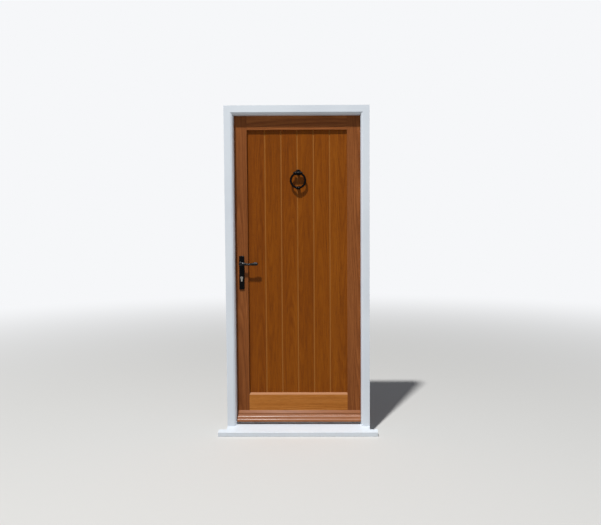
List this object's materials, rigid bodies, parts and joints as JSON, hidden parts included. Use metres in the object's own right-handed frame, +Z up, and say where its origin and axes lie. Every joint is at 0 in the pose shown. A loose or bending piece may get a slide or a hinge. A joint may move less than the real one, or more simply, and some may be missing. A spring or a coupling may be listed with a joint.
{
  "type": "front door with frame",
  "caption": "Boarded timber front door with a ring knocker, lever handles and a weatherboard, hung in a moulded painted frame with a sill.",
  "frame": {"origin": "middle of the frame's width, at the frame's outer face, on the underside of the sill", "axes": "+Z up, +X to the right as seen from outside, +Y into the house; the door opens towards +Y"},
  "size_m": [1.032, 0.2056, 2.125],
  "materials": {
    "oak": "stained oak under satin varnish",
    "white_paint": "planed softwood, white satin paint",
    "white_seal": "soft white weather seal",
    "black_rubber": "matt black rubber strip",
    "mill_aluminium": "plain extruded aluminium",
    "black_iron": "iron under satin black paint",
    "nickel": "satin nickel plate",
    "satin_steel": "satin stainless steel",
    "zinc_steel": "bright zinc plated steel"
  },
  "bodies": {
    "frame": {"jamb_lock": "white_paint", "jamb_hinge": "white_paint", "frame_head": "white_paint", "sill": "white_paint", "seal_head": "white_seal", "seal_lock_jamb": "white_seal", "seal_hinge_jamb": "white_seal", "threshold": "mill_aluminium", "threshold_seal": "black_rubber", "threshold_screws": "zinc_steel", "hinge_1_frame_leaf": "satin_steel", "hinge_2_frame_leaf": "satin_steel", "hinge_3_frame_leaf": "satin_steel", "hinge_pins": "satin_steel", "hinge_frame_screws": "zinc_steel", "keep_lower_hook": "satin_steel", "keep_centre": "satin_steel", "keep_upper_hook": "satin_steel", "keep_screws": "satin_steel"},
    "leaf": {"lock_stile": "oak", "hinge_stile": "oak", "top_rail": "oak", "bottom_rail": "oak", "board_1": "oak", "board_2": "oak", "board_3": "oak", "board_4": "oak", "board_5": "oak", "board_6": "oak", "weatherboard": "oak", "hinge_1_door_leaf": "satin_steel", "hinge_2_door_leaf": "satin_steel", "hinge_3_door_leaf": "satin_steel", "hinge_door_screws": "zinc_steel", "lock_case": "zinc_steel", "hook_case_lower": "zinc_steel", "hook_case_upper": "zinc_steel", "faceplate": "satin_steel", "faceplate_screws": "satin_steel", "backplate_outer": "black_iron", "backplate_inner": "black_iron", "backplate_screws": "black_iron", "cylinder_body": "nickel", "cylinder_screw": "satin_steel", "knocker_mount": "black_iron", "knocker_striker": "black_iron", "knocker_bolts": "black_iron"},
    "lever_set": {"lever_outer": "black_iron", "lever_inner": "black_iron", "spindle": "zinc_steel", "follower": "zinc_steel"},
    "latch_bolt": {"latch": "satin_steel"},
    "key_barrel": {"cylinder_plug_outer": "nickel", "cylinder_plug_inner": "nickel", "cylinder_cam": "zinc_steel"},
    "dead_bolt": {"deadbolt": "satin_steel"},
    "bar": {"drive_bar": "zinc_steel"},
    "lower_hook": {"hook_bolt_lower": "satin_steel"},
    "upper_hook": {"hook_bolt_upper": "satin_steel"},
    "ring": {"knocker_ring": "black_iron"}
  },
  "joints": [
    {"name": "door_swing", "type": "hinge", "parent": "frame", "child": "leaf", "pos_m": [0.4205, 0.1015, 1.068], "axis": [0, 0, -1], "range_deg": [0, 100]},
    {"name": "lever_turn", "type": "hinge", "parent": "leaf", "child": "lever_set", "pos_m": [-0.369, 0.073, 1.112], "axis": [0, 1, 0], "range_deg": [0, 35], "stiffness_Nm_per_rad": 1, "springref_deg": -28.65},
    {"name": "latch_slide", "type": "slide", "parent": "leaf", "child": "latch_bolt", "axis": [-1, 0, 0], "range_m": [0, 0.012]},
    {"name": "key_turn", "type": "hinge", "parent": "leaf", "child": "key_barrel", "pos_m": [-0.369, 0.073, 1.02], "axis": [0, 1, 0], "range_deg": [0, 360]},
    {"name": "deadbolt_slide", "type": "slide", "parent": "leaf", "child": "dead_bolt", "axis": [-1, 0, 0], "range_m": [0, 0.02]},
    {"name": "drive_slide", "type": "slide", "parent": "leaf", "child": "bar", "axis": [0, 0, 1], "range_m": [0, 0.02]},
    {"name": "lower_hook_turn", "type": "hinge", "parent": "leaf", "child": "lower_hook", "pos_m": [-0.405, 0.073, 0.45], "axis": [0, 1, 0], "range_deg": [0, 90]},
    {"name": "upper_hook_turn", "type": "hinge", "parent": "leaf", "child": "upper_hook", "pos_m": [-0.405, 0.073, 1.7], "axis": [0, -1, 0], "range_deg": [0, 90]},
    {"name": "ring_lift", "type": "hinge", "parent": "leaf", "child": "ring", "pos_m": [0.004, 0.041, 1.6985], "axis": [-1, 0, 0], "range_deg": [0, 90]}
  ],
  "couplings": [
    {"joint": "key_turn", "follows": "drive_slide", "rad_per_m": 314.16},
    {"joint": "deadbolt_slide", "follows": "drive_slide", "ratio": 1},
    {"joint": "lower_hook_turn", "follows": "drive_slide", "rad_per_m": 78.54},
    {"joint": "upper_hook_turn", "follows": "drive_slide", "rad_per_m": 78.54}
  ]
}
